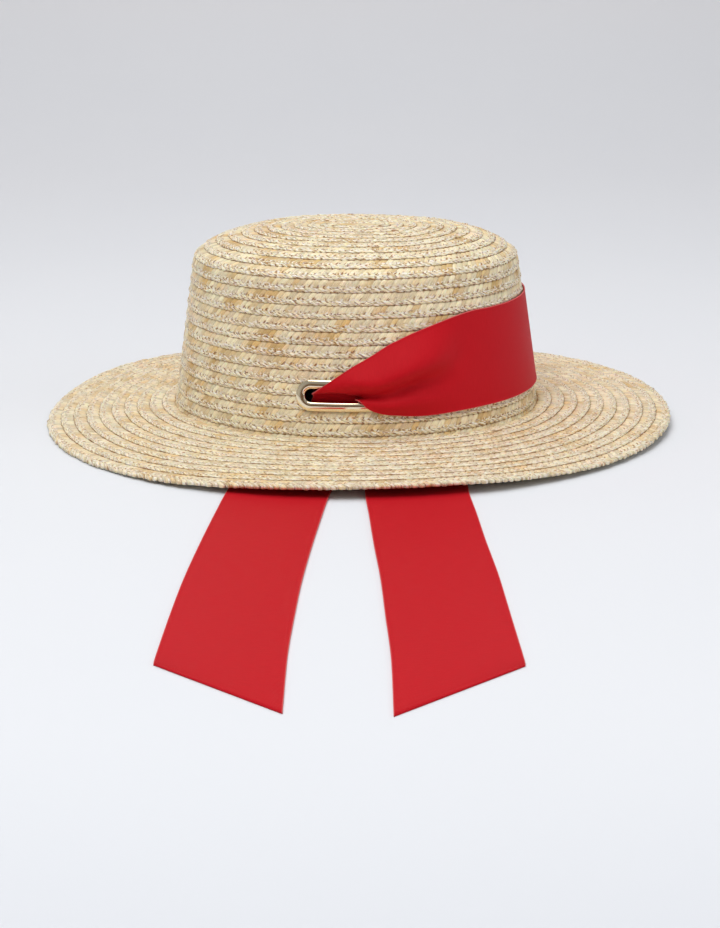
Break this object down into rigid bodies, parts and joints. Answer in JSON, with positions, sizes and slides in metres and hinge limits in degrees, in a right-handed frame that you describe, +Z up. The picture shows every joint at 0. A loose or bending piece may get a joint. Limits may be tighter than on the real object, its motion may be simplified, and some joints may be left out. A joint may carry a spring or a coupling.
{
  "type": "straw boater hat",
  "caption": "Straw boater hat of sewn braid with a flat-sided crown, wide brim, oblong metal eyelets and a red ribbon with free ends laid out in front.",
  "frame": {"origin": "on the surface that the hat rests on, under the middle of the crown, where the ribbon's hidden run crosses it", "axes": "+Z up; X along the long way of the oval; the ribbon's free ends point to -Y"},
  "size_m": [0.3391, 0.5685, 0.1058],
  "materials": {
    "crown_straw": "sewn wheat-straw braid, matt with glossy flecks",
    "brim_straw": "sewn wheat-straw braid, pale cream",
    "ribbon": "fine ribbed ribbon with a soft sheen",
    "eyelet": "polished pale metal"
  },
  "bodies": {
    "root": {"crown": "crown_straw", "brim": "brim_straw", "ribbon": "ribbon", "eyelet_near": "eyelet", "eyelet_far": "eyelet"}
  },
  "joints": []
}
